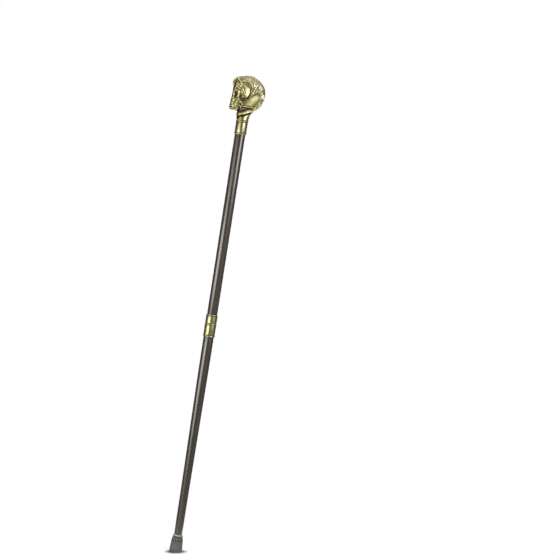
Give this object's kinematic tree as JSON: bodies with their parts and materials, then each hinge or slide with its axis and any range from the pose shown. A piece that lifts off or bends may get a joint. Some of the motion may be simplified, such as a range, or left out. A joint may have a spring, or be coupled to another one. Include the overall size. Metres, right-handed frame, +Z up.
{
  "type": "walking cane",
  "caption": "Straight walking cane with a cast horse-head handle, a tapered shaft that unscrews at a brass coupling, and a rubber tip.",
  "frame": {"origin": "middle of the rubber tip's underside, where the cane stands on the floor", "axes": "+Z up along the shaft towards the handle; the horse looks along -X; the head is alike on both sides of the XZ plane"},
  "size_m": [0.0657, 0.0376, 0.9297],
  "materials": {
    "rubber": "matt moulded rubber, dark warm grey",
    "steel": "zinc-plated",
    "lacquered_wood": "gloss black lacquer on turned hardwood",
    "brass": "turned, antiqued and polished",
    "cast_brass": "cast, antiqued dark in the hollows and polished on the ridges",
    "fibre": "vulcanised fibre washer"
  },
  "bodies": {
    "lower_section": {"rubber_tip": "rubber", "tip_washer": "steel", "lower_shaft": "lacquered_wood", "joint_anchor": "brass", "joint_lower_collar": "brass", "joint_stud": "steel"},
    "joint_carrier": {"joint_washer": "fibre"},
    "upper_section": {"joint_upper_collar": "brass", "joint_nut": "brass", "upper_shaft": "lacquered_wood", "handle_collar": "brass", "handle_nut": "brass"},
    "handle_carrier": {"handle_washer": "fibre"},
    "handle": {"horse_head": "cast_brass", "handle_stud": "steel"}
  },
  "joints": [
    {"name": "shaft_unscrew_lift", "type": "slide", "parent": "lower_section", "child": "joint_carrier", "axis": [0, 0, 1], "range_m": [0, 0.012]},
    {"name": "shaft_unscrew_turn", "type": "hinge", "parent": "joint_carrier", "child": "upper_section", "pos_m": [0, 0, 0.451], "axis": [0, 0, 1], "range_deg": [0, 2880]},
    {"name": "handle_unscrew_lift", "type": "slide", "parent": "upper_section", "child": "handle_carrier", "axis": [0, 0, 1], "range_m": [0, 0.01]},
    {"name": "handle_unscrew_turn", "type": "hinge", "parent": "handle_carrier", "child": "handle", "pos_m": [0, 0, 0.8445], "axis": [0, 0, 1], "range_deg": [0, 2880]}
  ],
  "couplings": [
    {"joint": "shaft_unscrew_turn", "follows": "shaft_unscrew_lift", "rad_per_m": 4188.8},
    {"joint": "handle_unscrew_turn", "follows": "handle_unscrew_lift", "rad_per_m": 5026.5}
  ]
}
